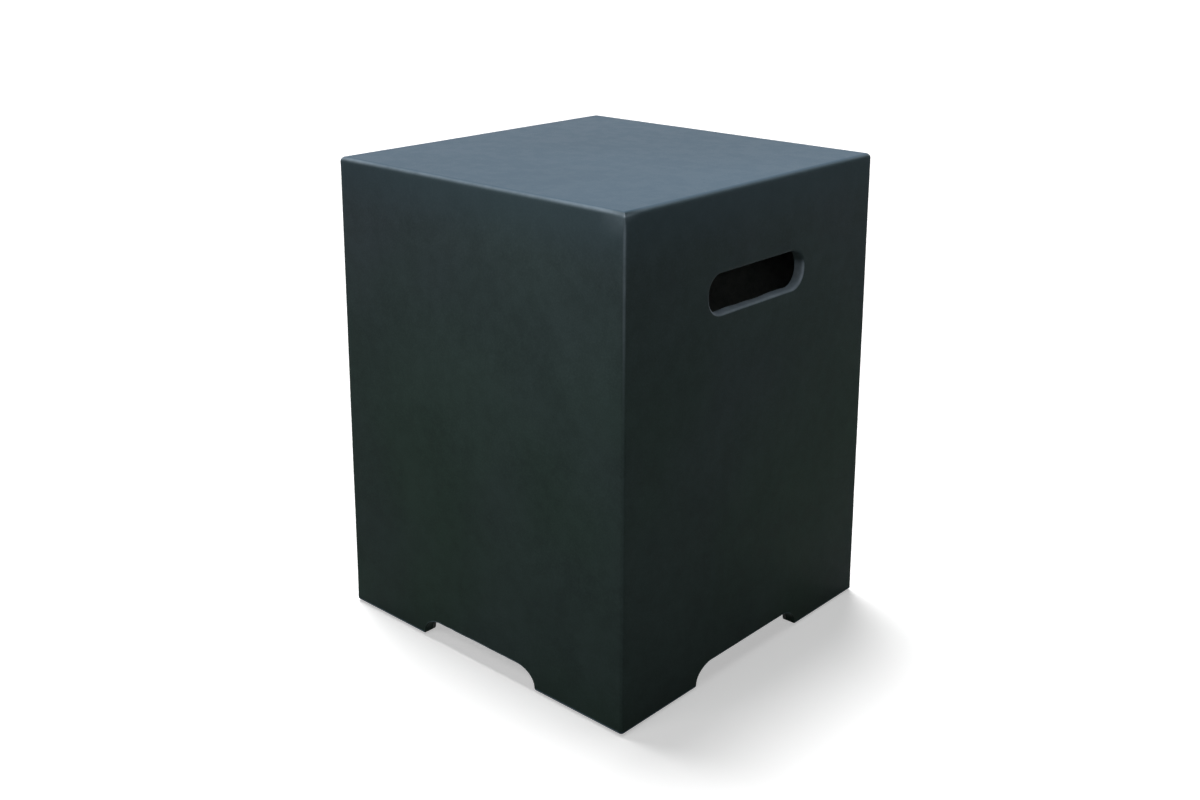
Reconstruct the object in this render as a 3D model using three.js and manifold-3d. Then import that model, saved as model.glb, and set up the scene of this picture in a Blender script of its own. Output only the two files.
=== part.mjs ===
// Cover that stands over an upright gas cylinder and serves as a small patio table.
// One hollow square concrete casting, open below, with a low arch in the foot of every side and
// a round-ended handle slot in two opposite sides. It stands on four rubber pads.
// Millimetres, +Z up. The origin is on the floor under the middle, and the slots face +X and -X.

import * as THREE from 'three';
import { mergeVertices } from 'three/addons/utils/BufferGeometryUtils.js';
import Module from 'manifold-3d';

// Outside of the casting
const BASE_WIDTH = 410;
const CAST_HEIGHT = 514;
const MOULD_DRAFT_DEGREES = 0.9;
const UPRIGHT_EDGE_RADIUS = 3.5;
const TOP_EDGE_RADIUS = 4.8;
const TOP_CORNER_RADIUS = 1;

// Inside of the casting
const WALL = 12.5;
const RIM_EXTRA_WALL = 3.5;
const RIM_HEIGHT = 45;
const RIM_BLEND_HEIGHT = 25;
const TOP_SLAB = 16;
const INNER_CORNER_RADIUS = 25;
const CEILING_COVE_RADIUS = 18;

// Handle slots, measured at the straight part of the hole between its rounded edges
const SLOT_LENGTH = 153.5;
const SLOT_HEIGHT = 39;
const SLOT_CORNER_RADIUS = 18;
const SLOT_LIP_RADIUS = 3;
const SLOT_INNER_EDGE_RADIUS = 1.5;
const SLOT_CENTRE_BELOW_TOP = 100;

// Foot arches: a flat top that curves down to the floor at both ends
const PLAIN_SIDE_ARCH_WIDTH = 170.5;
const SLOTTED_SIDE_ARCH_WIDTH = 176.5;
const ARCH_HEIGHT = 21;
const ARCH_SHOULDER_WIDTH = 26;

// Rubber pads
const PAD_DIAMETER = 22;
const PAD_THICKNESS = 3;
const PAD_EDGE_RADIUS = 0.9;
const PAD_SET_BACK = 4.5;

// How far a cutter runs on past the face that it opens
const OVERRUN = 6;

// Steps in a quarter turn of each curve
const UPRIGHT_EDGE_STEPS = 8;
const TOP_EDGE_STEPS = 6;
const INNER_CORNER_STEPS = 10;
const COVE_STEPS = 6;
const SLOT_CORNER_STEPS = 12;
const SLOT_LIP_STEPS = 5;
const ARCH_STEPS = 12;
const PAD_EDGE_STEPS = 3;
const PAD_SIDES = 40;

const CONCRETE = { color: 0x3c464c, roughness: 0.6, metalness: 0 };
const RUBBER = { color: 0x16181a, roughness: 0.85, metalness: 0 };

const QUARTER_TURN = Math.PI / 2;
const DRAFT = THREE.MathUtils.degToRad(MOULD_DRAFT_DEGREES);
const SOLE_Z = PAD_THICKNESS;
const TOP_Z = SOLE_Z + CAST_HEIGHT;
const CEILING_Z = TOP_Z - TOP_SLAB;

const wasm = await Module();
wasm.setup();

// Half the casting's width at a height, which the mould's draft makes smaller towards the top.
function outerHalfWidth(z) {
  return BASE_WIDTH / 2 - (z - SOLE_Z) * Math.tan(DRAFT);
}

// Angles that split a quarter turn into equal steps, both ends included.
function quarterSteps(steps) {
  return Array.from({ length: steps + 1 }, (_, i) => (QUARTER_TURN * i) / steps);
}

// Outline of a rectangle with round corners, anticlockwise, always with the same number of points.
function roundedRectangle(halfX, halfY, radius, steps) {
  const limited = Math.max(0, Math.min(radius, halfX, halfY));
  const corners = [
    [1, 1, 0],
    [-1, 1, 1],
    [-1, -1, 2],
    [1, -1, 3],
  ];
  return corners.flatMap(([signX, signY, turns]) =>
    quarterSteps(steps).map((angle) => {
      const direction = angle + turns * QUARTER_TURN;
      return new THREE.Vector2(
        signX * (halfX - limited) + limited * Math.cos(direction),
        signY * (halfY - limited) + limited * Math.sin(direction),
      );
    }),
  );
}

// One level section of a loft: a square with round corners.
function squareSection(z, halfWidth, radius, steps) {
  return { z, outline: roundedRectangle(halfWidth, halfWidth, radius, steps) };
}

// Closed surface through flat convex outlines stacked along Z, lowest first, with both ends capped.
function loft(sections) {
  const count = sections[0].outline.length;
  const positions = sections.flatMap(({ z, outline }) => outline.flatMap((point) => [point.x, point.y, z]));
  const indices = [];
  for (let level = 0; level + 1 < sections.length; level += 1) {
    for (let i = 0; i < count; i += 1) {
      const low = level * count + i;
      const lowNext = level * count + ((i + 1) % count);
      indices.push(low, lowNext, lowNext + count);
      indices.push(low, lowNext + count, low + count);
    }
  }
  const top = (sections.length - 1) * count;
  for (let i = 1; i + 1 < count; i += 1) {
    indices.push(0, i + 1, i);
    indices.push(top, top + i, top + i + 1);
  }
  const geometry = new THREE.BufferGeometry();
  geometry.setAttribute('position', new THREE.Float32BufferAttribute(positions, 3));
  geometry.setIndex(indices);
  return geometry;
}

// Solid made from a closed geometry: shared vertices are merged and collapsed triangles left out.
function toSolid(geometry) {
  const bare = geometry.clone();
  bare.deleteAttribute('normal');
  bare.deleteAttribute('uv');
  const merged = mergeVertices(bare);
  const triangles = [];
  for (let i = 0; i < merged.index.count; i += 3) {
    const [a, b, c] = [0, 1, 2].map((corner) => merged.index.getX(i + corner));
    if (a !== b && b !== c && c !== a) {
      triangles.push(a, b, c);
    }
  }
  return new wasm.Manifold(
    new wasm.Mesh({
      numProp: 3,
      vertProperties: new Float32Array(merged.attributes.position.array),
      triVerts: new Uint32Array(triangles),
    }),
  );
}

// Geometry for a mesh, flat shaded, from a solid.
function toGeometry(solid) {
  const { vertProperties, triVerts } = solid.getMesh();
  const geometry = new THREE.BufferGeometry();
  geometry.setAttribute('position', new THREE.BufferAttribute(vertProperties, 3));
  geometry.setIndex(new THREE.BufferAttribute(triVerts, 1));
  const flat = geometry.toNonIndexed();
  flat.computeVertexNormals();
  return flat;
}

// Block of the casting before it is hollowed: drafted sides, round upright edges, rolled top edge.
// Along the roll each upright edge's radius shrinks to that of the flat top's corner.
function outerBlock() {
  const shoulderZ = TOP_Z - TOP_EDGE_RADIUS;
  const sole = squareSection(SOLE_Z, outerHalfWidth(SOLE_Z), UPRIGHT_EDGE_RADIUS, UPRIGHT_EDGE_STEPS);
  const rolledEdge = quarterSteps(TOP_EDGE_STEPS).map((angle) => {
    const drawnIn = TOP_EDGE_RADIUS * (1 - Math.cos(angle));
    return squareSection(
      shoulderZ + TOP_EDGE_RADIUS * Math.sin(angle),
      outerHalfWidth(shoulderZ) - drawnIn,
      TOP_CORNER_RADIUS + (UPRIGHT_EDGE_RADIUS - TOP_CORNER_RADIUS) * Math.cos(angle),
      UPRIGHT_EDGE_STEPS,
    );
  });
  return loft([sole, ...rolledEdge]);
}

// Space inside the casting: narrower within the thick rim at the foot, coved where it meets the top.
function tankSpace() {
  const wallSection = (z, thickness, cutZ = z) =>
    squareSection(cutZ, outerHalfWidth(z) - thickness, INNER_CORNER_RADIUS, INNER_CORNER_STEPS);
  const rimWall = WALL + RIM_EXTRA_WALL;
  const rimTopZ = SOLE_Z + RIM_HEIGHT;
  const coveStartZ = CEILING_Z - CEILING_COVE_RADIUS;
  const cove = quarterSteps(COVE_STEPS).map((angle) => {
    const drawnIn = CEILING_COVE_RADIUS * (1 - Math.cos(angle));
    return squareSection(
      coveStartZ + CEILING_COVE_RADIUS * Math.sin(angle),
      outerHalfWidth(coveStartZ) - WALL - drawnIn,
      INNER_CORNER_RADIUS - drawnIn,
      INNER_CORNER_STEPS,
    );
  });
  return loft([
    wallSection(SOLE_Z, rimWall, SOLE_Z - OVERRUN),
    wallSection(rimTopZ, rimWall),
    wallSection(rimTopZ + RIM_BLEND_HEIGHT, WALL),
    ...cove,
  ]);
}

// Cutter for one handle slot, along its own Z out of the wall: a straight hole that flares in a
// quarter round at both faces, tilted with the drafted wall and then turned to its side.
function handleSlot(turn) {
  const section = (depth, flare) => ({
    z: depth,
    outline: roundedRectangle(
      SLOT_LENGTH / 2 + flare,
      SLOT_HEIGHT / 2 + flare,
      SLOT_CORNER_RADIUS + flare,
      SLOT_CORNER_STEPS,
    ),
  });
  const innerEdge = quarterSteps(SLOT_LIP_STEPS).map((angle) => {
    const rise = SLOT_INNER_EDGE_RADIUS * (1 - Math.cos(angle));
    return section(rise - WALL, SLOT_INNER_EDGE_RADIUS * (1 - Math.sin(angle)));
  });
  const lip = quarterSteps(SLOT_LIP_STEPS).map((angle) => {
    const depth = SLOT_LIP_RADIUS * (1 - Math.sin(angle));
    return section(-depth, SLOT_LIP_RADIUS * (1 - Math.cos(angle)));
  });
  const cutter = loft([
    section(-WALL - OVERRUN, SLOT_INNER_EDGE_RADIUS),
    ...innerEdge,
    ...lip,
    section(OVERRUN, SLOT_LIP_RADIUS),
  ]);
  const along = new THREE.Vector3(0, 1, 0);
  const up = new THREE.Vector3(-Math.sin(DRAFT), 0, Math.cos(DRAFT));
  const outward = new THREE.Vector3(Math.cos(DRAFT), 0, Math.sin(DRAFT));
  const centreZ = TOP_Z - SLOT_CENTRE_BELOW_TOP;
  cutter.applyMatrix4(new THREE.Matrix4().makeBasis(along, up, outward));
  cutter.translate(outerHalfWidth(centreZ), 0, centreZ);
  return cutter.rotateZ(turn);
}

// Cutter for the arches of two opposite sides, one prism that runs through the whole casting.
function archPair(width, turn) {
  const half = width / 2;
  const shoulder = Math.min(ARCH_SHOULDER_WIDTH, half);
  const profile = new THREE.Shape();
  profile.moveTo(half, -OVERRUN);
  profile.lineTo(half, 0);
  profile.absellipse(half - shoulder, 0, shoulder, ARCH_HEIGHT, 0, QUARTER_TURN);
  profile.absellipse(shoulder - half, 0, shoulder, ARCH_HEIGHT, QUARTER_TURN, 2 * QUARTER_TURN);
  profile.lineTo(-half, -OVERRUN);
  profile.closePath();
  const depth = BASE_WIDTH + 2 * OVERRUN;
  const prism = new THREE.ExtrudeGeometry(profile, {
    depth,
    bevelEnabled: false,
    curveSegments: ARCH_STEPS / 2,
  });
  prism.translate(0, 0, -depth / 2);
  prism.rotateX(QUARTER_TURN);
  prism.translate(0, 0, SOLE_Z);
  return prism.rotateZ(turn);
}

function castShell() {
  const cutters = [
    tankSpace(),
    handleSlot(0),
    handleSlot(2 * QUARTER_TURN),
    archPair(PLAIN_SIDE_ARCH_WIDTH, 0),
    archPair(SLOTTED_SIDE_ARCH_WIDTH, QUARTER_TURN),
  ];
  const shell = cutters.reduce((body, cutter) => body.subtract(toSolid(cutter)), toSolid(outerBlock()));
  const mesh = new THREE.Mesh(toGeometry(shell), new THREE.MeshStandardMaterial(CONCRETE));
  mesh.name = 'cast_shell';
  return mesh;
}

// One round pad, its lower edge rounded and its flat upper face against the casting's sole.
function footPad(name, signX, signY) {
  const radius = PAD_DIAMETER / 2;
  const edge = Math.min(PAD_EDGE_RADIUS, PAD_THICKNESS);
  const roundedEdge = quarterSteps(PAD_EDGE_STEPS).map(
    (angle) => new THREE.Vector2(radius - edge * (1 - Math.sin(angle)), edge * (1 - Math.cos(angle))),
  );
  const profile = [
    new THREE.Vector2(0, 0),
    ...roundedEdge,
    new THREE.Vector2(radius, PAD_THICKNESS),
    new THREE.Vector2(0, PAD_THICKNESS),
  ];
  const geometry = new THREE.LatheGeometry(profile, PAD_SIDES).rotateX(QUARTER_TURN);
  const pad = new THREE.Mesh(geometry, new THREE.MeshStandardMaterial(RUBBER));
  const centre = BASE_WIDTH / 2 - PAD_SET_BACK - radius;
  pad.name = name;
  pad.position.set(signX * centre, signY * centre, 0);
  return pad;
}

const cover = new THREE.Group();
cover.add(
  castShell(),
  footPad('foot_pad_front_left', -1, -1),
  footPad('foot_pad_front_right', 1, -1),
  footPad('foot_pad_back_left', -1, 1),
  footPad('foot_pad_back_right', 1, 1),
);

export default cover;
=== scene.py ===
# Square hollow concrete cover that stands over a gas cylinder and serves as a patio table.
# Metres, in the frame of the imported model: +Z up, origin on the floor, handle slots facing +X and -X.
# A side is described by u along it, w out of it and z up, and is then turned to its place.

import math

import bmesh
import bpy
import numpy as np
from mathutils import Matrix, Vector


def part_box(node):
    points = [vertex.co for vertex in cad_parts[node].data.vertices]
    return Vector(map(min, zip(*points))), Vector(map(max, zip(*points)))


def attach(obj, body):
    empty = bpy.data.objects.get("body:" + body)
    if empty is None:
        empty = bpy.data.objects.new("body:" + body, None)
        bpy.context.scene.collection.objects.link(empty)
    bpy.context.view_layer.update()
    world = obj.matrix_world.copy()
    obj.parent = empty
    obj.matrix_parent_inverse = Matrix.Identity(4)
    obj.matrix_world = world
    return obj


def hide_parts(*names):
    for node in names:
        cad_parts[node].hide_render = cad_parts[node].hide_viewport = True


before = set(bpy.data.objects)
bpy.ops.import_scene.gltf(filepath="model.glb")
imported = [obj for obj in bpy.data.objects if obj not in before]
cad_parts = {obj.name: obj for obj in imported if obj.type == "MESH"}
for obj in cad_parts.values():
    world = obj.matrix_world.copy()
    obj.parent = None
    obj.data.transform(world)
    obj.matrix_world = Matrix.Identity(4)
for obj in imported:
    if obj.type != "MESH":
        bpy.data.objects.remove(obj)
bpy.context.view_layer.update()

# Outside of the casting
CAST_LOW, CAST_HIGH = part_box("cast_shell")
SOLE_Z = CAST_LOW.z
TOP_Z = CAST_HIGH.z
BASE_WIDTH = CAST_HIGH.x - CAST_LOW.x
DRAFT = math.radians(0.9)
UPRIGHT_EDGE_RADIUS = 0.0035
TOP_EDGE_RADIUS = 0.0048
TOP_CORNER_RADIUS = 0.001

# Inside of the casting
WALL = 0.0125
RIM_EXTRA_WALL = 0.0035
RIM_HEIGHT = 0.045
RIM_BLEND_HEIGHT = 0.025
TOP_SLAB = 0.016
INNER_CORNER_RADIUS = 0.025
CEILING_COVE_RADIUS = 0.018

# Handle slots
SLOT_LENGTH = 0.1535
SLOT_HEIGHT = 0.039
SLOT_CORNER_RADIUS = 0.018
SLOT_LIP_RADIUS = 0.003
SLOT_INNER_EDGE_RADIUS = 0.0015
SLOT_CENTRE_Z = TOP_Z - 0.100

# Foot arches
PLAIN_SIDE_ARCH_WIDTH = 0.1705
SLOTTED_SIDE_ARCH_WIDTH = 0.1765
ARCH_HEIGHT = 0.021
ARCH_SHOULDER_WIDTH = 0.026
FOOT_TIP_RADIUS = 0.0015
ARRIS_RADIUS = 0.0011

# Unevenness that the mould and the hand finish leave in the surface
WALL_WAVE_DEPTH = 0.0002
WALL_WAVE_LENGTH = 0.15
WALL_RIPPLE_DEPTH = 0.00009
WALL_RIPPLE_LENGTH = 0.03
TOP_RIPPLE_SHARE = 0.3
EDGE_WAVE_DEPTH = 0.0004
EDGE_WAVE_LENGTH = 0.06
INNER_FACE_WAVE_DEPTH = 0.0009
INNER_FACE_WAVE_LENGTH = 0.035
LEVEL_FOOT_HEIGHT = 0.03

# Wear and painted highlight on the round edges: least and most, and the distance from the top or from a
# corner in which it fades. Above the slotted sides, which face away from the light, the painted highlight
# is weaker
UPRIGHT_WEAR_AND_HIGHLIGHT = (0.18, 0.52)
UPRIGHT_WEAR_AND_HIGHLIGHT_REACH = 0.24
UPPER_WEAR_AND_HIGHLIGHT = (0.49, 0.68)
UPPER_WEAR_AND_HIGHLIGHT_REACH = 0.09
UPPER_HIGHLIGHT_SLOTTED_SIDE = 0.5

# Wear and painted highlight across a round edge, in shares of its radius: depth in the middle of the arc,
# and the fade from there
ARC_MIDDLE_SHARE = 0.29
ARC_FADE_SHARE = 0.9

# Faint painted glow on the walls in a band beside the edges
BAND_GLOW = 0.25
BAND_REACH = 0.014

# Painted light in a slot's hole. Painted light in and round a slot fades between these shares of its height
# above its middle, so that only the lower part is lit
HOLE_LIGHT = 0.8
SLOT_LIGHT_SHARES = (0.0, 0.3)

# Two small nicks in the front upright edge, above each other
NICK_HEIGHTS = (0.2743, 0.2853)
NICK_REACH = 0.0011
NICK_DEPTH = 0.0007
NICK_ROWS = 7
NICK_ROWS_SPREAD = 1.5 * NICK_REACH

# Top corner above them, rubbed rounder than the others and paler with a painted highlight, so far down and
# along its edges
BLUNT_DEPTH = 0.0022
BLUNT_DOWN = 0.013
BLUNT_ALONG = 0.036
BLUNT_HIGHLIGHT = 0.60

# Painted glow: a pale place beside that corner on the plain side, where the light falls
PALE_DOWN = 0.045
PALE_ALONG = 0.065
PALE_GLOW = 0.42

# Columns in half a side, from its middle out to the corner
MIDDLE_COLUMNS = 10
SHOULDER_COLUMNS = 12
TIP_COLUMNS = 4
FOOT_COLUMNS = 14
CORNER_COLUMNS = 5
ARCH_COLUMNS = MIDDLE_COLUMNS + SHOULDER_COLUMNS + TIP_COLUMNS

# Steps round the edges, and rows of a wall between them
ARRIS_STEPS = 4
SOLE_STEPS = 4
ROLL_STEPS = 6
COVE_STEPS = 8
LOWER_ROWS = 14
LOWER_ROW_POWER = 1.25
OUTER_ROWS_BELOW_SLOT = 50
OUTER_ROWS_ABOVE_SLOT = 9
INNER_ROWS_BELOW_SLOT = 32
INNER_ROWS_ABOVE_SLOT = 4

# Where the columns that start on the arch stand on the even part of the wall, and where that begins
EVEN_REACH = 0.120
EVEN_Z = SOLE_Z + 0.090

# The grid round a slot: cells between its middle and the edge of the part that is cut out
SLOT_SIDE_COLUMNS = 20
SLOT_SIDE_ROWS = 9
SLOT_ROW_PITCH = 0.00545

# The slot's surface in its place: steps on the wall, round the lip and through the hole
APPROACH_STEPS = 6
LIP_STEPS = 6
HOLE_STEPS = 4

# Narrow strip of cells beside a round edge, which keeps the flat face flat up to the edge
GUARD = 0.0008
GUARD_SHARE = 0.01

# Points nearer to each other than this are merged
MERGE_DISTANCE = 2e-6

# Round rubber pads
PAD_GROOVE_DEPTH = 0.0004
PAD_GROOVES = 3
PAD_GROOVE_STEPS = 10
PAD_RIM_RADIUS = 0.0009
PAD_RIM_STEPS = 6
PAD_GUARD = 0.0002
PAD_SIDES = 72

# Concrete: height above which the foot's darker, greener colour fades, which is painted shade and painted
# green reflection, and depth of the paler blue band below the top, which is painted sky light
FOOT_COLOUR_HEIGHT = 0.14
BLUE_BAND_DEPTH = 0.065

# Colours of the cast face, the inner face and the pads
# Darker and greener at the foot than above: painted shade and painted green reflection
FOOT_GREEN = (0.042, 0.072, 0.058, 1)
FOOT_SLATE = (0.047, 0.071, 0.067, 1)
UPPER_SLATE = (0.055, 0.079, 0.081, 1)
UPPER_BLUE = (0.059, 0.079, 0.088, 1)
# Paler, bluer band below the top: painted sky light
BAND_BLUE = (0.062, 0.100, 0.121, 1)
# Painted sheen on what faces up: a pale blue reflection of the sky
TOP_SHEEN_DARK = (0.0775, 0.1175, 0.1560, 1)
TOP_SHEEN_PALE = (0.0850, 0.1285, 0.1710, 1)
# Edge colour: partly wear, partly painted highlight. The corner colour is a painted highlight
RUBBED_AND_HIGHLIT_EDGE = (0.38, 0.46, 0.53, 1)
CORNER_HIGHLIGHT = (0.60, 0.66, 0.70, 1)
PIT_DARK = (0.014, 0.018, 0.019, 1)
BACK_DARK = (0.190, 0.210, 0.203, 1)
BACK_PALE = (0.260, 0.280, 0.270, 1)
FIBRE_PALE = (0.34, 0.35, 0.34, 1)
RUBBER_DARK = (0.008, 0.009, 0.010, 1)
RUBBER_DUSTY = (0.022, 0.022, 0.021, 1)

# Camera, solved from the corners of the casting in the photograph
CAMERA_PLACE = (0.9473, -1.0542, 0.7700)
CAMERA_AZIMUTH = math.radians(42.252)
CAMERA_PITCH = math.radians(20.360)
CAMERA_ROLL = math.radians(0.103)
CAMERA_LENS = 40.77
CAMERA_SENSOR_WIDTH = 36.0
CAMERA_RANGE = (0.05, 200.0)

# Floor: its colour for the light that it throws back, and as seen, with the lift that makes it white
FLOOR_REACH = 60.0
FLOOR_BOUNCE = 0.25
FLOOR_SHADE = 0.85
FLOOR_LIFT = 0.44
WORLD_FILL = 0.01

QUARTER_TURN = math.pi / 2


# Profile of the walls

def ease(value):
    """Smooth step from 0 to 1: three squares less two cubes of the value, which is first clipped."""
    clipped = np.clip(value, 0, 1)
    return clipped * clipped * (3 - 2 * clipped)


def outer_half(z):
    """Half the width outside at height z: it shrinks with the tangent of the draft."""
    return BASE_WIDTH / 2 - (z - SOLE_Z) * math.tan(DRAFT)


def inner_half(z):
    """Half the width inside: the outer half less the wall, which is thicker in the rim at the foot."""
    above_rim = ease((z - SOLE_Z - RIM_HEIGHT) / RIM_BLEND_HEIGHT)
    return outer_half(z) - WALL - RIM_EXTRA_WALL * (1 - above_rim)


def foot_line(arch_width):
    """Lower edge of half a side, from the middle of the arch to the corner, one entry a column.

    Level under the arch, a quarter ellipse down, a quarter circle round the foot's tip, level sole.
    start is (u, z) there and normal the unit vector out of the concrete. even_u is u on the even wall.
    share is how far a column lies from the foot's tip to the corner, turn its angle in the corner.
    """
    half = arch_width / 2
    level = half - ARCH_SHOULDER_WIDTH
    rise = ARCH_HEIGHT - FOOT_TIP_RADIUS
    middle = np.linspace(0, level, MIDDLE_COLUMNS, endpoint=False)
    bend = np.linspace(QUARTER_TURN, 0, SHOULDER_COLUMNS, endpoint=False)
    tip = np.linspace(2 * QUARTER_TURN, 3 * QUARTER_TURN, TIP_COLUMNS + 1)
    rest = FOOT_COLUMNS + CORNER_COLUMNS

    arch_u = np.concatenate([
        middle,
        level + ARCH_SHOULDER_WIDTH * np.cos(bend),
        half + FOOT_TIP_RADIUS * (1 + np.cos(tip)),
    ])
    arch_z = SOLE_Z + np.concatenate([
        np.full(MIDDLE_COLUMNS, ARCH_HEIGHT),
        FOOT_TIP_RADIUS + rise * np.sin(bend),
        FOOT_TIP_RADIUS * (1 + np.sin(tip)),
    ])
    bend_normal = -np.stack([rise * np.cos(bend), ARCH_SHOULDER_WIDTH * np.sin(bend)], axis=1)
    bend_normal /= np.linalg.norm(bend_normal, axis=1, keepdims=True)
    tip_normal = np.stack([np.cos(tip), np.sin(tip)], axis=1)
    down = np.array([[0.0, -1.0]])
    foot_share = np.append(np.linspace(0, 1 - GUARD_SHARE, FOOT_COLUMNS)[1:], 1.0)

    return {
        "start": np.stack([
            np.append(arch_u, np.full(rest, half + FOOT_TIP_RADIUS)),
            np.append(arch_z, np.full(rest, SOLE_Z)),
        ], axis=1),
        "normal": np.concatenate([
            np.repeat(down, MIDDLE_COLUMNS, axis=0), bend_normal, tip_normal, np.repeat(down, rest, axis=0),
        ]),
        "even_u": np.append(np.linspace(0, EVEN_REACH, ARCH_COLUMNS + 1), np.full(rest, EVEN_REACH)),
        "share": np.concatenate([np.zeros(ARCH_COLUMNS + 1), foot_share, np.ones(CORNER_COLUMNS)]),
        "turn": np.append(
            np.zeros(ARCH_COLUMNS + 1 + FOOT_COLUMNS),
            np.linspace(0, QUARTER_TURN / 2, CORNER_COLUMNS + 1)[1:],
        ),
    }


def rows(relax=1.0, level=EVEN_Z, inset=0.0, shift=0.0, radius=0.0):
    """Rows of a wall as a table with a line for each: relax, level, inset, shift, corner radius."""
    return np.stack(np.broadcast_arrays(*np.atleast_1d(relax, level, inset, shift, radius)), axis=1)


def wall_points(foot, table, half_of):
    """Points (u, w, z) of half a side: row by row, column by column.

    A column runs straight from the foot line, moved inset into the concrete, to its even place at
    level, and relax is the share of the way. w is the wall's half width plus shift; the corner is
    an arc of the given radius, and the columns of the foot share out the way to its start.
    """
    relax, level, inset, shift, radius = table.T[:, :, None]
    start = foot["start"][None] - foot["normal"][None] * inset[:, :, None]
    z = start[:, :, 1] + (level - start[:, :, 1]) * relax
    along = start[:, :, 0] + (foot["even_u"] - start[:, :, 0]) * relax
    half = half_of(z) + shift
    along = along + (half - radius - along) * foot["share"]
    u = along + radius * np.sin(foot["turn"])
    w = half - radius + radius * np.cos(foot["turn"])
    return np.stack([u, w, z], axis=2)


def quarter(steps):
    """Angles that share a quarter turn out evenly, both ends included."""
    return np.linspace(0, QUARTER_TURN, steps + 1)


def lower_rows(radius):
    """Rows between the arris at the foot and the even part of the wall, closer together below."""
    share = np.linspace(0, 1, LOWER_ROWS + 1)[1:] ** LOWER_ROW_POWER
    return rows(relax=np.append(GUARD_SHARE, share), radius=radius)


def slot_levels():
    """Heights of the rows through a slot's part of the grid, evenly spaced about its centre."""
    return SLOT_CENTRE_Z + SLOT_ROW_PITCH * np.arange(-SLOT_SIDE_ROWS, SLOT_SIDE_ROWS + 1)


def outer_rows():
    """Rows of the outer wall from the sole to the table top, and the first row of the slot's part."""
    radius = UPRIGHT_EDGE_RADIUS
    arris = quarter(ARRIS_STEPS)[::-1]
    drawn_in = ARRIS_RADIUS * (1 - np.cos(arris))
    foot_edge = rows(0, EVEN_Z, ARRIS_RADIUS * (1 - np.sin(arris)), -drawn_in, radius - drawn_in)
    lower = lower_rows(radius)
    slot = slot_levels()
    below = np.linspace(EVEN_Z, slot[0], OUTER_ROWS_BELOW_SLOT, endpoint=False)[1:]
    beside_nicks = np.linspace(-NICK_ROWS_SPREAD, NICK_ROWS_SPREAD, NICK_ROWS)
    nicks = (np.array(NICK_HEIGHTS)[:, None] + beside_nicks[None]).ravel()
    clear = np.abs(below[:, None] - nicks[None]).min(axis=1) > NICK_REACH
    below = np.sort(np.concatenate([below[clear], nicks]))
    shoulder = TOP_Z - TOP_EDGE_RADIUS
    above = np.append(np.linspace(slot[-1], shoulder - GUARD, OUTER_ROWS_ABOVE_SLOT)[1:], shoulder)
    roll = quarter(ROLL_STEPS)[1:]
    drawn_in = TOP_EDGE_RADIUS * (1 - np.cos(roll))
    corner = TOP_CORNER_RADIUS + (radius - TOP_CORNER_RADIUS) * np.cos(roll)
    table = np.concatenate([
        foot_edge,
        lower,
        rows(level=np.concatenate([below, slot, above]), radius=radius),
        rows(level=shoulder + TOP_EDGE_RADIUS * np.sin(roll), shift=-drawn_in, radius=corner),
        rows(level=TOP_Z, shift=-TOP_EDGE_RADIUS - GUARD, radius=TOP_CORNER_RADIUS),
    ])
    return table, len(foot_edge) + len(lower) + len(below)


def inner_rows():
    """Rows of the inner wall from the ceiling to the sole, and the last row of the slot's part."""
    radius = INNER_CORNER_RADIUS
    cove = quarter(COVE_STEPS)[::-1]
    drawn_in = CEILING_COVE_RADIUS * (1 - np.cos(cove))
    ceiling = TOP_Z - TOP_SLAB
    cove_start = ceiling - CEILING_COVE_RADIUS
    cove_level = cove_start + CEILING_COVE_RADIUS * np.sin(cove)
    slot = slot_levels()[::-1]
    above = np.linspace(cove_start, slot[0], INNER_ROWS_ABOVE_SLOT, endpoint=False)[1:]
    below = np.linspace(slot[-1], EVEN_Z, INNER_ROWS_BELOW_SLOT)[1:-1]
    arris = quarter(ARRIS_STEPS)
    drawn_out = ARRIS_RADIUS * (1 - np.cos(arris))
    head = np.concatenate([
        rows(level=ceiling, shift=-CEILING_COVE_RADIUS - GUARD, radius=radius - CEILING_COVE_RADIUS),
        rows(level=cove_level, shift=-drawn_in, radius=radius - drawn_in),
        rows(level=above, radius=radius),
    ])
    table = np.concatenate([
        head,
        rows(level=np.append(slot, below), radius=radius),
        lower_rows(radius)[::-1],
        rows(0, EVEN_Z, ARRIS_RADIUS * (1 - np.sin(arris)), drawn_out, radius + drawn_out),
    ])
    return table, len(head) + len(slot) - 1


def wall_strip(arch_width):
    """One side as a grid: down the inner wall, across the sole, up the outer wall and over the edge.

    Returns the points and the rows of the slot's part on the outer and inner wall, lowest first.
    """
    foot = foot_line(arch_width)
    outer_table, outer_slot = outer_rows()
    inner_table, inner_slot = inner_rows()
    outer = wall_points(foot, outer_table, outer_half)
    inner = wall_points(foot, inner_table, inner_half)
    share = np.linspace(0, 1, SOLE_STEPS + 1)[1:-1, None, None]
    across = inner[-1] + (outer[0] - inner[-1]) * share
    half = np.concatenate([inner, across, outer])
    mirrored = half[:, :0:-1] * np.array([-1, 1, 1])
    strip = np.concatenate([mirrored, half], axis=1)
    span = np.arange(2 * SLOT_SIDE_ROWS + 1)
    return strip, len(inner) + len(across) + outer_slot + span, inner_slot - span


# Handle slots

def rim_of(strip, slot_rows, slot_columns):
    """Closed line of grid points round the slot's part: along the bottom, up, back and down."""
    return np.concatenate([
        strip[slot_rows[0], slot_columns],
        strip[slot_rows[1:], slot_columns[-1]],
        strip[slot_rows[-1], slot_columns[-2::-1]],
        strip[slot_rows[-2::-1], slot_columns[0]],
    ])


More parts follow.
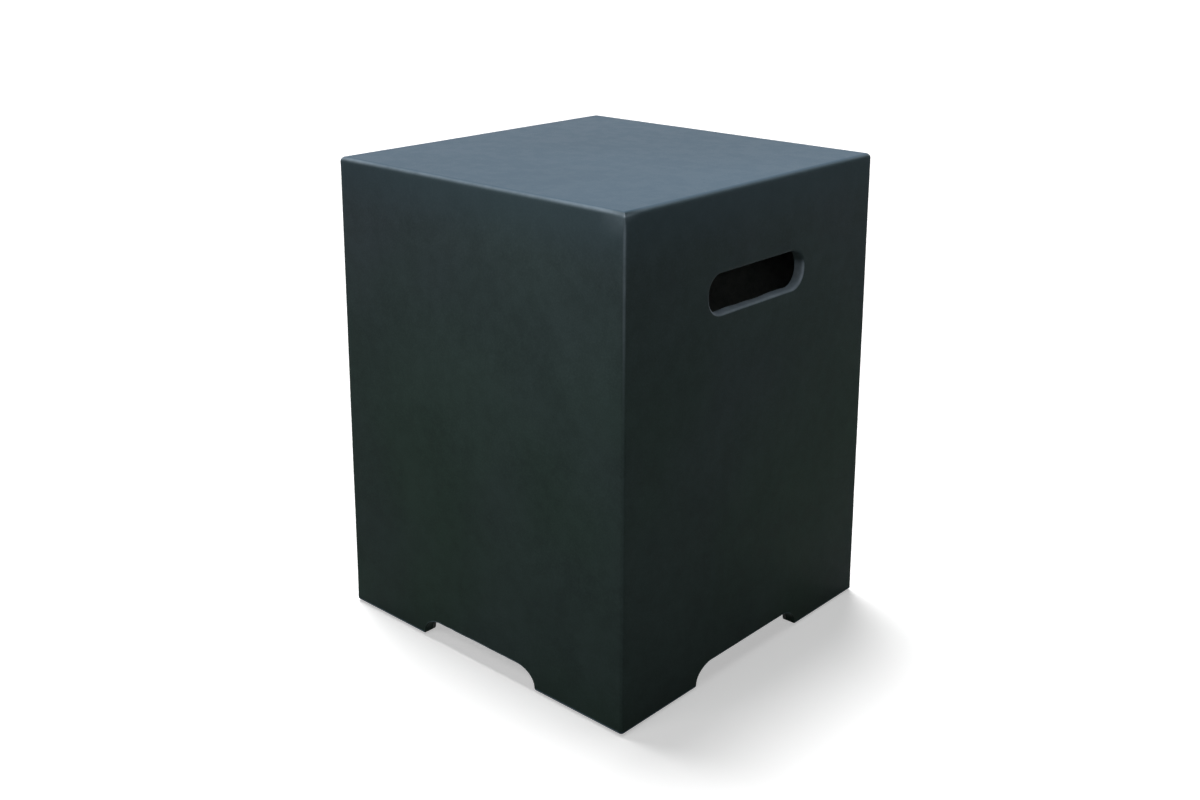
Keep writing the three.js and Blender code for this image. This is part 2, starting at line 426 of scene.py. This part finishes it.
def slot_patch(outer_rim, inner_rim):
    """Surface from the outer wall through the slot to the inner wall, as a closed strip of columns.

    In the tilted plane of the wall (u, v), each column points from the slot's core, a rectangle
    without its round corners, to its grid point. Both ends flare by a quarter circle.
    """
    thickness = WALL * math.cos(DRAFT)
    centre_w = outer_half(SLOT_CENTRE_Z)
    core_u = SLOT_LENGTH / 2 - SLOT_CORNER_RADIUS
    core_v = SLOT_HEIGHT / 2 - SLOT_CORNER_RADIUS
    outer = np.stack([outer_rim[:, 0], (outer_rim[:, 2] - SLOT_CENTRE_Z) / math.cos(DRAFT)], axis=1)
    inner_v = (inner_rim[:, 2] - SLOT_CENTRE_Z + thickness * math.sin(DRAFT)) / math.cos(DRAFT)
    inner = np.stack([inner_rim[:, 0], inner_v], axis=1)
    core = np.clip(outer, [-core_u, -core_v], [core_u, core_v])
    direction = (outer - core) / np.linalg.norm(outer - core, axis=1, keepdims=True)

    def flared(flare):
        return core + direction * (SLOT_CORNER_RADIUS + flare)

    def ring(point, depth):
        w = centre_w - point[:, 1] * math.sin(DRAFT) - depth * math.cos(DRAFT)
        z = SLOT_CENTRE_Z + point[:, 1] * math.cos(DRAFT) - depth * math.sin(DRAFT)
        return np.stack([point[:, 0], w, z], axis=1)

    approach = np.append(np.linspace(0, 1, APPROACH_STEPS + 1)[:-1], 1 - 4 * GUARD_SHARE)
    lip, edge = quarter(LIP_STEPS)[::-1], quarter(ARRIS_STEPS)[::-1]
    hole_end = thickness - SLOT_INNER_EDGE_RADIUS
    mouth, back = flared(SLOT_LIP_RADIUS), flared(SLOT_INNER_EDGE_RADIUS)
    rings = [ring(outer + (mouth - outer) * share, 0) for share in approach]
    rings += [
        ring(flared(SLOT_LIP_RADIUS * (1 - math.cos(a))), SLOT_LIP_RADIUS * (1 - math.sin(a)))
        for a in lip
    ]
    hole_depths = np.linspace(SLOT_LIP_RADIUS, hole_end, HOLE_STEPS + 1)[1:-1]
    rings += [ring(flared(0), depth) for depth in hole_depths]
    rings += [
        ring(
            flared(SLOT_INNER_EDGE_RADIUS * (1 - math.sin(a))),
            hole_end + SLOT_INNER_EDGE_RADIUS * math.cos(a),
        )
        for a in edge
    ]
    rings += [ring(inner + (back - inner) * share, thickness) for share in approach[::-1]]
    return np.stack(rings)


# Meshes

def turned(points, quarters):
    """Points (u, w, z) of a side turned about Z to the side that lies so many quarters from +X."""
    c, s = round(math.cos(quarters * QUARTER_TURN)), round(math.sin(quarters * QUARTER_TURN))
    u, w, z = points[..., 0], points[..., 1], points[..., 2]
    return np.stack([w * c - u * s, w * s + u * c, z], axis=-1)


def grid_faces(grid_rows, grid_columns, hole=None):
    """Four-sided faces of a grid of points, less the cells of hole (first and last row and column)."""
    first = np.arange((grid_rows - 1) * grid_columns).reshape(grid_rows - 1, grid_columns)[:, :-1]
    quads = np.stack([first, first + 1, first + grid_columns + 1, first + grid_columns], axis=-1)
    keep = np.ones(first.shape, bool)
    if hole is not None:
        keep[hole[0]:hole[1], hole[2]:hole[3]] = False
    return quads[keep]


def panel(sides):
    """Level square panel inside four edge lines, by Coons' formula: the two blends between opposite
    edges, added, less the blend of the four corners. sides[k] runs anticlockwise along side k."""
    right, back, left, front = sides[0], sides[1][::-1], sides[2][::-1], sides[3]
    a = ((front[:, 0] - front[0, 0]) / (front[-1, 0] - front[0, 0]))[None, :, None]
    b = ((right[:, 1] - right[0, 1]) / (right[-1, 1] - right[0, 1]))[:, None, None]
    ruled = (1 - a) * left[:, None] + a * right[:, None] + (1 - b) * front[None] + b * back[None]
    corners = (1 - a) * ((1 - b) * front[0] + b * back[0]) + a * ((1 - b) * front[-1] + b * back[-1])
    return ruled - corners


def closed_mesh(name, parts):
    """One closed mesh from grids of points and their faces, with coincident points merged."""
    starts = np.cumsum([0] + [len(points) for points, faces in parts])
    vertices = np.concatenate([points for points, faces in parts])
    quads = np.concatenate([faces + start for (points, faces), start in zip(parts, starts)])
    mesh = bpy.data.meshes.new(name)
    mesh.from_pydata(vertices.tolist(), [], quads.tolist())
    work = bmesh.new()
    work.from_mesh(mesh)
    bmesh.ops.remove_doubles(work, verts=work.verts, dist=MERGE_DISTANCE)
    bmesh.ops.recalc_face_normals(work, faces=work.faces)
    work.to_mesh(mesh)
    work.free()
    mesh.polygons.foreach_set("use_smooth", np.ones(len(mesh.polygons), bool))
    return mesh


def read(collection, field, width):
    """A field of a mesh's elements as an array with so many numbers in a row."""
    values = np.empty(len(collection) * width, np.float32)
    collection.foreach_get(field, values)
    return values.reshape(-1, width).astype(float) if width > 1 else values.astype(float)


def unevenness(points, wavelength, seed, waves=28):
    """Smooth noise from 0 to 1: the sum of sine waves of seeded direction, length and phase."""
    random = np.random.default_rng(seed)
    direction = random.normal(size=(waves, 3))
    direction /= np.linalg.norm(direction, axis=1, keepdims=True)
    length = wavelength * random.uniform(0.6, 1.8, waves)
    phase = random.uniform(0, 4 * QUARTER_TURN, waves)
    total = np.sin(points @ (4 * QUARTER_TURN * direction / length[:, None]).T + phase).sum(axis=1)
    return np.clip(0.5 + total / (3 * math.sqrt(waves)), 0, 1)


def depth_in_wall(points):
    """How far points lie inside the flat outer faces: the least distance to any of them."""
    half = outer_half(points[:, 2])
    return np.minimum(half - np.abs(points[:, :2]).max(axis=1), TOP_Z - points[:, 2])


def bluntness(points, reach_down, reach_along):
    """1 at the blunt corner, 0 past its reaches: the product of the eased distances below it, in from
    the nearer of its sides, and along its edges from the farther one. The flat top is left alone."""
    half = outer_half(points[:, 2])
    from_sides = np.stack([half - points[:, 0], half + points[:, 1]])
    down = ease(1 - (TOP_Z - points[:, 2]) / reach_down)
    inwards = ease(1 - from_sides.min(axis=0) / TOP_EDGE_RADIUS)
    return down * inwards * ease(1 - from_sides.max(axis=0) / reach_along)


def wear_and_painted_light(points):
    """Share of wear and painted light: up to 1 in the middle of a round edge or slot lip, more in a top
    corner.

    It eases off to 0 just past the ends of the rounding. A point's place across an edge is the larger
    of its depths below the edge's two faces. On the edges it is wear and a painted highlight, which is
    weaker above the slotted sides, as they face away from the light. Round a slot the depths are those
    behind the wall's face and outside the hole's outline, and the lip and the hole get painted light,
    both in their lower part. The walls get a faint painted glow in a band beside the edges, whose inner
    limit is rounded in the corners. The blunt corner has a painted highlight of its own, and the pale
    place beside it a painted glow.
    """
    def across(depth, radius):
        return ease(1 - (depth / radius - ARC_MIDDLE_SHARE) / ARC_FADE_SHARE)

    def fading(share, distance, reach):
        return share[0] + (share[1] - share[0]) * ease(1 - distance / reach)

    half = outer_half(points[:, 2])
    side_x, side_y = half - np.abs(points[:, 0]), half - np.abs(points[:, 1])
    top = TOP_Z - points[:, 2]
    nearer, farther = np.minimum(side_x, side_y), np.maximum(side_x, side_y)
    # Wear and painted highlight along the round edges; where two meet at the top, a painted corner
    # highlight
    upright = across(farther, UPRIGHT_EDGE_RADIUS)
    upper = across(np.maximum(nearer, top), TOP_EDGE_RADIUS)
    corner = upright * upper
    upright *= fading(UPRIGHT_WEAR_AND_HIGHLIGHT, top, UPRIGHT_WEAR_AND_HIGHLIGHT_REACH)
    upper *= fading(UPPER_WEAR_AND_HIGHLIGHT, farther, UPPER_WEAR_AND_HIGHLIGHT_REACH)
    # Faint painted glow in a band beside the edges, fading downwards
    past_limit = np.hypot(np.maximum(BAND_REACH - top, 0), np.maximum(BAND_REACH - farther, 0))
    band = BAND_GLOW * ease(past_limit / BAND_REACH) * (nearer < GUARD)
    band *= ease(1 - top / UPRIGHT_WEAR_AND_HIGHLIGHT_REACH)
    # Weaker painted highlight on the edges above the slotted sides, which face away from the light
    upper *= np.where(side_x < side_y, UPPER_HIGHLIGHT_SLOTTED_SIDE, 1)
    beside = np.abs(points[:, 1]) - (SLOT_LENGTH / 2 - SLOT_CORNER_RADIUS)
    above = np.abs(points[:, 2] - SLOT_CENTRE_Z) - (SLOT_HEIGHT / 2 - SLOT_CORNER_RADIUS)
    outside = np.hypot(np.maximum(beside, 0), np.maximum(above, 0)) - SLOT_CORNER_RADIUS
    # Painted light on the slot's lip and in its hole, in their lower part
    lip = across(np.maximum(outside, side_x), SLOT_LIP_RADIUS)
    hole = HOLE_LIGHT * (np.abs(outside) < GUARD) * (side_x > 0) * (side_x < WALL)
    low, high = SLOT_LIGHT_SHARES
    above_middle = (points[:, 2] - SLOT_CENTRE_Z) / SLOT_HEIGHT
    slot = np.maximum(lip, hole) * (1 - ease((above_middle - low) / (high - low)))
    # Painted highlight on the blunt corner, painted glow on the pale place beside it
    blunt = BLUNT_HIGHLIGHT * bluntness(points, BLUNT_DOWN, BLUNT_ALONG)
    pale = PALE_GLOW * bluntness(points, PALE_DOWN, PALE_ALONG) * (side_y < side_x)
    return np.maximum.reduce([upright, upper, band, slot, blunt, pale]) + corner


def hand_finish(mesh):
    """Moves every point inwards along its normal by smooth noise, so that no face is dead flat.

    The walls get long waves and faint ripples, the edges a wave of their own, the inner face
    deeper waves, and the two nicks a dip that falls off as a bell curve. The blunt corner is drawn in.
    The sole stays level.
    """
    points = read(mesh.vertices, "co", 3)
    normals = read(mesh.vertex_normals, "vector", 3)
    rubbed_and_lit = wear_and_painted_light(points)
    inside = ease((depth_in_wall(points) - WALL / 4) / (WALL / 2))
    outside_depth = WALL_WAVE_DEPTH * unevenness(points, WALL_WAVE_LENGTH, seed=3)
    under_top = ease((TOP_Z - points[:, 2]) / CEILING_COVE_RADIUS)
    ripple_share = TOP_RIPPLE_SHARE + (1 - TOP_RIPPLE_SHARE) * under_top
    outside_depth += WALL_RIPPLE_DEPTH * ripple_share * unevenness(points, WALL_RIPPLE_LENGTH, seed=5)
    outside_depth += EDGE_WAVE_DEPTH * rubbed_and_lit * unevenness(points, EDGE_WAVE_LENGTH, seed=7)
    inside_depth = INNER_FACE_WAVE_DEPTH * unevenness(points, INNER_FACE_WAVE_LENGTH, seed=11)
    depth = outside_depth * (1 - inside) + inside_depth * inside
    depth *= ease((points[:, 2] - SOLE_Z) / LEVEL_FOOT_HEIGHT)
    half = outer_half(points[:, 2])
    edge_gap = np.hypot(half - points[:, 0], half + points[:, 1])
    for height in NICK_HEIGHTS:
        distance = np.hypot(points[:, 2] - height, edge_gap)
        depth += NICK_DEPTH * np.exp(-((distance / NICK_REACH) ** 2))
    depth += BLUNT_DEPTH * bluntness(points, BLUNT_DOWN, BLUNT_ALONG)
    moved = points - normals * depth[:, None]
    mesh.vertices.foreach_set("co", moved.astype(np.float32).ravel())
    mesh.update()
    # Keeps the share of wear and painted light for the material
    mesh.attributes.new("wear_and_painted_light", "FLOAT", "POINT").data.foreach_set("value", rubbed_and_lit.astype(np.float32))


def cast_cover():
    """The casting: four wall strips, the slots through two of them, the table top and the ceiling."""
    parts, tops, ceilings = [], [], []
    for quarters in range(4):
        slotted = quarters % 2 == 0
        arch_width = SLOTTED_SIDE_ARCH_WIDTH if slotted else PLAIN_SIDE_ARCH_WIDTH
        strip, outer_slot, inner_slot = wall_strip(arch_width)
        count_rows, count_columns = strip.shape[:2]
        placed = turned(strip, quarters)
        faces = grid_faces(count_rows, count_columns)
        if slotted:
            middle = count_columns // 2
            columns = np.arange(middle - SLOT_SIDE_COLUMNS, middle + SLOT_SIDE_COLUMNS + 1)
            outer_hole = (outer_slot[0], outer_slot[-1], columns[0], columns[-1])
            inner_hole = (inner_slot[-1], inner_slot[0], columns[0], columns[-1])
            kept = [grid_faces(count_rows, count_columns, hole) for hole in (outer_hole, inner_hole)]
            both = set(map(tuple, kept[0].tolist())) & set(map(tuple, kept[1].tolist()))
            faces = np.array(sorted(both))
            patch = slot_patch(rim_of(strip, outer_slot, columns), rim_of(strip, inner_slot, columns))
            parts.append((turned(patch, quarters).reshape(-1, 3), grid_faces(*patch.shape[:2])))
        parts.append((placed.reshape(-1, 3), faces))
        tops.append(placed[-1])
        ceilings.append(placed[0])
    for sides, order in ((tops, 1), (ceilings, -1)):
        flat = panel(sides)
        parts.append((flat.reshape(-1, 3), grid_faces(*flat.shape[:2])[:, ::order]))
    mesh = closed_mesh("cast_cover", parts)
    hand_finish(mesh)
    return mesh


def turned_pad(name, low, high):
    """A round rubber pad, turned about its own axis from a profile of radius and height.

    Underside with shallow round grooves (a rectified cosine), quarter-circle rim, upright side, flat top.
    """
    radius = (high.x - low.x) / 2
    thickness = high.z - low.z
    flat = radius - PAD_RIM_RADIUS
    under = np.linspace(0, flat, PAD_GROOVES * PAD_GROOVE_STEPS + 1)
    groove = np.maximum(0, -np.cos(under / flat * PAD_GROOVES * 4 * QUARTER_TURN)) * PAD_GROOVE_DEPTH
    rim = quarter(PAD_RIM_STEPS)[1:]
    profile_r = np.concatenate([
        under,
        flat + PAD_RIM_RADIUS * np.sin(rim),
        [radius, radius - PAD_GUARD, 0],
    ])
    profile_z = np.concatenate([
        groove,
        PAD_RIM_RADIUS * (1 - np.cos(rim)),
        [thickness - PAD_GUARD, thickness, thickness],
    ])
    angle = np.linspace(0, 4 * QUARTER_TURN, PAD_SIDES + 1)
    x = (low.x + high.x) / 2 + profile_r[:, None] * np.cos(angle)
    y = (low.y + high.y) / 2 + profile_r[:, None] * np.sin(angle)
    z = low.z + np.broadcast_to(profile_z[:, None], x.shape)
    points = np.stack([x, y, z], axis=-1)
    return closed_mesh(name, [(points.reshape(-1, 3), grid_faces(*points.shape[:2]))])


def piece(name, mesh, replaced, slot, *materials):
    """Puts a finished mesh into the scene as a piece that stands for a node of the frame."""
    thing = bpy.data.objects.new(name, mesh)
    bpy.context.scene.collection.objects.link(thing)
    for material in materials:
        mesh.materials.append(material)
    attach(thing, "root")
    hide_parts(replaced)
    return thing


# Materials

class Recipe:
    """A material's node tree, with short ways to add and join its nodes."""

    def __init__(self, name):
        self.material = bpy.data.materials.new(name)
        self.material.use_nodes = True
        self.tree = self.material.node_tree
        self.shader = self.tree.nodes["Principled BSDF"]

    def add(self, kind, inputs=None, **settings):
        """A node of that kind: settings are its properties, inputs its sockets' values or sources."""
        made = self.tree.nodes.new(kind)
        for key, value in settings.items():
            setattr(made, key, value)
        for key, value in (inputs or {}).items():
            self.feed(made.inputs[key], value)
        return made

    def feed(self, socket, value):
        """Joins a socket to a source, or sets its value."""
        if isinstance(value, bpy.types.NodeSocket):
            self.tree.links.new(value, socket)
        else:
            socket.default_value = value

    def place(self):
        """Position on the object."""
        return self.add("ShaderNodeTexCoord").outputs["Object"]

    def noise(self, where, scale, detail, roughness=0.5):
        """Cloudy noise, scale in cells a metre."""
        return self.add("ShaderNodeTexNoise", {
            "Vector": where, "Scale": scale, "Detail": detail, "Roughness": roughness,
        }).outputs["Fac"]

    def ramp(self, value, low, high, bottom=0.0, top=1.0):
        """Smooth passage from bottom to top while the value goes from low to high."""
        return self.add("ShaderNodeMapRange", {
            "Value": value, "From Min": low, "From Max": high, "To Min": bottom, "To Max": top,
        }, interpolation_type="SMOOTHSTEP").outputs["Result"]

    def math(self, operation, first, second):
        """Sum, product or other operation on two values."""
        return self.add("ShaderNodeMath", {0: first, 1: second}, operation=operation).outputs[0]

    def blend(self, share, first, second):
        """Colour between first and second."""
        mixer = self.add("ShaderNodeMix", {"Factor": share}, data_type="RGBA")
        self.feed(mixer.inputs[6], first)
        self.feed(mixer.inputs[7], second)
        return mixer.outputs[2]

    def bumps(self, height, distance, below=None):
        """Surface normal of a height, with distance as the depth of the relief in metres."""
        inputs = {"Height": height, "Distance": distance, "Strength": 1.0}
        if below is not None:
            inputs["Normal"] = below
        return self.add("ShaderNodeBump", inputs).outputs["Normal"]

    def finish(self, colour, roughness, normal, **constants):
        """Feeds the shader. Constants are set on its own sockets."""
        self.feed(self.shader.inputs["Base Color"], colour)
        self.feed(self.shader.inputs["Roughness"], roughness)
        self.feed(self.shader.inputs["Normal"], normal)
        for key, value in constants.items():
            self.shader.inputs[key.replace("_", " ")].default_value = value
        return self.material


def slate_concrete():
    """Cast face: dark slate grey, clouded and pitted. It carries painted light: darker and greener towards
    the foot as painted shade and green reflection, paler and bluer towards the top as painted sky light,
    rubbed and with painted highlights along the edges, and with painted light in the slots.

    What faces up has a painted pale blue sheen, a reflection of the sky.
    """
    r = Recipe("slate_concrete_cast_face")
    where = r.place()
    clouds = r.ramp(r.noise(where, 13, 4), 0.3, 0.7)
    tint = r.ramp(r.noise(where, 4, 2), 0.35, 0.65)
    mottle = r.ramp(r.noise(where, 55, 6, 0.65), 0.32, 0.68)
    grain = r.noise(where, 600, 3)
    height = r.add("ShaderNodeSeparateXYZ", {0: where}).outputs["Z"]
    # Darker and greener towards the foot: painted shade and painted green reflection
    by_the_foot = r.blend(tint, FOOT_GREEN, FOOT_SLATE)
    by_the_top = r.blend(tint, UPPER_SLATE, UPPER_BLUE)
    colour = r.blend(r.ramp(height, FOOT_COLOUR_HEIGHT, TOP_Z), by_the_foot, by_the_top)
    shade = r.math("ADD", r.ramp(clouds, 0, 1, 0.81, 0.93), r.ramp(mottle, 0, 1, 0, 0.10))
    shade = r.math("ADD", shade, r.ramp(grain, 0.4, 0.7, 0, 0.12))
    colour = r.add("ShaderNodeVectorMath", {0: colour, "Scale": shade}, operation="SCALE").outputs[0]
    # Paler and bluer in a band below the top: painted sky light
    colour = r.blend(r.ramp(height, TOP_Z - BLUE_BAND_DEPTH, TOP_Z, 0, 0.5), colour, BAND_BLUE)

    # Painted sheen on what faces up, a pale blue reflection of the sky, broadly brighter in places
    facing = r.add("ShaderNodeTexCoord").outputs["Normal"]
    up = r.add("ShaderNodeSeparateXYZ", {0: facing}).outputs["Z"]
    wide = r.ramp(r.noise(where, 3.5, 1), 0.3, 0.7)
    painted_sheen = r.blend(wide, TOP_SHEEN_DARK, TOP_SHEEN_PALE)
    colour = r.blend(r.ramp(up, 0.45, 1.0), colour, painted_sheen)

    # Wear and painted highlights on the edges, a painted highlight in the corners, painted glow beside the
    # edges and the blunt corner, painted light in the slots
    rubbed_and_lit = r.add("ShaderNodeAttribute", attribute_name="wear_and_painted_light").outputs["Fac"]
    patchy = r.ramp(r.noise(where, 60, 4, 0.7), 0.25, 0.75, 0.6, 1)
    rubbed_and_lit_share = r.math("MULTIPLY", r.ramp(rubbed_and_lit, 0.1, 1.0, 0, 0.9), patchy)
    colour = r.blend(rubbed_and_lit_share, colour, RUBBED_AND_HIGHLIT_EDGE)
    colour = r.blend(r.ramp(rubbed_and_lit, 0.95, 1.5), colour, CORNER_HIGHLIGHT)

    cells = r.add("ShaderNodeTexVoronoi", {"Vector": where, "Scale": 95.0}, feature="F1")
    pores = cells.outputs["Distance"]
    scatter = r.ramp(r.noise(where, 23, 1), 0.62, 0.7)
    pits = r.math("MULTIPLY", r.ramp(pores, 0.035, 0.065, 1, 0), scatter)
    colour = r.blend(r.math("MULTIPLY", pits, 0.7), colour, PIT_DARK)

    roughness = r.math("ADD", r.ramp(mottle, 0, 1, 0.40, 0.46), r.ramp(grain, 0.3, 0.7, -0.03, 0.03))
    normal = r.bumps(r.noise(where, 160, 4, 0.6), 0.00003)
    normal = r.bumps(grain, 0.00004, normal)
    normal = r.bumps(pits, -0.0003, normal)
    return r.finish(colour, roughness, normal, Specular_IOR_Level=0.5, IOR=1.07)


def backed_concrete():
    """Inner face: the fibre-laden back of the pour, rolled by hand, rougher and paler."""
    r = Recipe("slate_concrete_inner_face")
    where = r.place()
    lumps = r.noise(where, 55, 5, 0.65)
    coarse = r.noise(where, 260, 4, 0.6)
    colour = r.blend(r.ramp(lumps, 0.3, 0.7), BACK_DARK, BACK_PALE)
    drawn_out = r.add("ShaderNodeMapping", {"Vector": where, "Scale": (1.0, 1.0, 0.12)})
    strands = r.noise(drawn_out.outputs["Vector"], 420, 3, 0.7)
    colour = r.blend(r.ramp(strands, 0.62, 0.74, 0, 0.45), colour, FIBRE_PALE)
    normal = r.bumps(lumps, 0.0012)
    normal = r.bumps(coarse, 0.0005, normal)
    return r.finish(colour, r.ramp(coarse, 0.3, 0.7, 0.7, 0.85), normal, Specular_IOR_Level=0.15)


def moulded_rubber():
    """Pads: near-black rubber, faintly dusty."""
    r = Recipe("moulded_rubber")
    where = r.place()
    dust = r.noise(where, 300, 4, 0.6)
    colour = r.blend(r.ramp(dust, 0.45, 0.75), RUBBER_DARK, RUBBER_DUSTY)
    normal = r.bumps(r.noise(where, 1800, 2), 0.00004)
    return r.finish(colour, r.ramp(dust, 0.3, 0.7, 0.7, 0.88), normal, Specular_IOR_Level=0.3)


# Studio

def seen_directly(tree):
    """1 for camera, glossy and transmission rays, 0 for the diffuse light that reaches the object."""
    path = tree.nodes.new("ShaderNodeLightPath").outputs
    total = path["Is Camera Ray"]
    for name in ("Is Glossy Ray", "Is Transmission Ray"):
        adder = tree.nodes.new("ShaderNodeMath")
        adder.operation = "MAXIMUM"
        tree.links.new(total, adder.inputs[0])
        tree.links.new(path[name], adder.inputs[1])
        total = adder.outputs[0]
    return total


def level_where_seen(tree, hidden, seen):
    """Output with the value hidden for diffuse rays and seen for the others."""
    level = tree.nodes.new("ShaderNodeMapRange")
    level.inputs["To Min"].default_value = hidden
    level.inputs["To Max"].default_value = seen
    tree.links.new(seen_directly(tree), level.inputs["Value"])
    return level.outputs["Result"]


def pale_floor():
    """Level floor under the pads: pale grey, lifted to white where it is seen, so that it keeps shadows."""
    corners = [(-FLOOR_REACH, -FLOOR_REACH, 0), (FLOOR_REACH, -FLOOR_REACH, 0),
               (FLOOR_REACH, FLOOR_REACH, 0), (-FLOOR_REACH, FLOOR_REACH, 0)]
    mesh = bpy.data.meshes.new("pale_floor")
    mesh.from_pydata(corners, [], [(0, 1, 2, 3)])
    floor = bpy.data.objects.new("pale_floor", mesh)
    bpy.context.scene.collection.objects.link(floor)
    material = bpy.data.materials.new("floor_paper")
    material.use_nodes = True
    tree = material.node_tree
    tree.nodes.clear()
    matte = tree.nodes.new("ShaderNodeBsdfDiffuse")
    tree.links.new(level_where_seen(tree, FLOOR_BOUNCE, FLOOR_SHADE), matte.inputs["Color"])
    lift = tree.nodes.new("ShaderNodeEmission")
    tree.links.new(level_where_seen(tree, 0.0, FLOOR_LIFT), lift.inputs["Strength"])
    both = tree.nodes.new("ShaderNodeAddShader")
    tree.links.new(matte.outputs[0], both.inputs[0])
    tree.links.new(lift.outputs[0], both.inputs[1])
    out = tree.nodes.new("ShaderNodeOutputMaterial")
    tree.links.new(both.outputs[0], out.inputs["Surface"])
    mesh.materials.append(material)


def white_surroundings():
    """White wherever it is seen, and a weak even fill for the object."""
    world = bpy.data.worlds.new("white_surroundings")
    world.use_nodes = True
    bpy.context.scene.world = world
    tree = world.node_tree
    background = tree.nodes["Background"]
    background.inputs["Color"].default_value = (1, 1, 1, 1)
    tree.links.new(level_where_seen(tree, WORLD_FILL, 1.0), background.inputs["Strength"])


def aimed(azimuth, elevation):
    """Rotation of a lamp that shines from an azimuth, counted as the views are, and an elevation."""
    turn = Matrix.Rotation(math.radians(azimuth), 4, "Z")
    return turn @ Matrix.Rotation(math.radians(90 - elevation), 4, "X")


def lamp(name, kind, placed, energy):
    """A white lamp of that kind and energy, put into the scene."""
    light = bpy.data.lights.new(name, kind)
    light.energy = energy
    holder = bpy.data.objects.new(name, light)
    holder.matrix_world = placed
    bpy.context.scene.collection.objects.link(holder)
    return light


def soft_sun(name, azimuth, elevation, strength, softness):
    """Even light from far away; softness is the angle that its source fills, in degrees."""
    lamp(name, "SUN", aimed(azimuth, elevation), strength).angle = math.radians(softness)


def softbox(name, azimuth, elevation, distance, aim, size, power):
    """Square softbox at a distance from the point that it is aimed at."""
    turned_to = aimed(azimuth, elevation)
    placed = Matrix.Translation(aim) @ turned_to @ Matrix.Translation((0, 0, distance))
    lamp(name, "AREA", placed, power).size = size


def studio_lights():
    """High light from behind on the left, a softbox close over each side in view, and a weak fill."""
    soft_sun("overhead_light", azimuth=-110, elevation=72, strength=3.0, softness=24)
    softbox(
        "softbox_at_plain_side", azimuth=8, elevation=20, distance=0.50,
        aim=(0.02, -0.24, 0.50), size=0.3, power=1.063,
    )
    softbox(
        "softbox_over_slotted_side", azimuth=70, elevation=75, distance=0.60,
        aim=(0.21, 0.06, 0.46), size=0.4, power=0.93,
    )
    soft_sun("front_fill", azimuth=46, elevation=22, strength=0.15, softness=20)


def camera():
    """Camera at the photograph's place: turned to its azimuth, tipped down by its pitch, then rolled."""
    data = bpy.data.cameras.new("camera")
    data.lens = CAMERA_LENS
    data.sensor_width = CAMERA_SENSOR_WIDTH
    data.clip_start, data.clip_end = CAMERA_RANGE
    made = bpy.data.objects.new("camera", data)
    made.matrix_world = (
        Matrix.Translation(CAMERA_PLACE)
        @ Matrix.Rotation(CAMERA_AZIMUTH, 4, "Z")
        @ Matrix.Rotation(QUARTER_TURN - CAMERA_PITCH, 4, "X")
        @ Matrix.Rotation(CAMERA_ROLL, 4, "Z")
    )
    bpy.context.scene.collection.objects.link(made)
    bpy.context.scene.camera = made


camera()
pale_floor()
white_surroundings()
studio_lights()

cover_mesh = cast_cover()
piece("cast_cover", cover_mesh, "cast_shell", "concrete", slate_concrete(), backed_concrete())
inner_face = depth_in_wall(read(cover_mesh.polygons, "center", 3)) > WALL - ARRIS_RADIUS
cover_mesh.polygons.foreach_set("material_index", inner_face.astype(np.int32))

rubber = moulded_rubber()
for corner in ("front_left", "front_right", "back_left", "back_right"):
    name, node = f"rubber_pad_{corner}", f"foot_pad_{corner}"
    piece(name, turned_pad(name, *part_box(node)), node, "pad_rubber", rubber)

bpy.context.scene.view_settings.view_transform = "Standard"
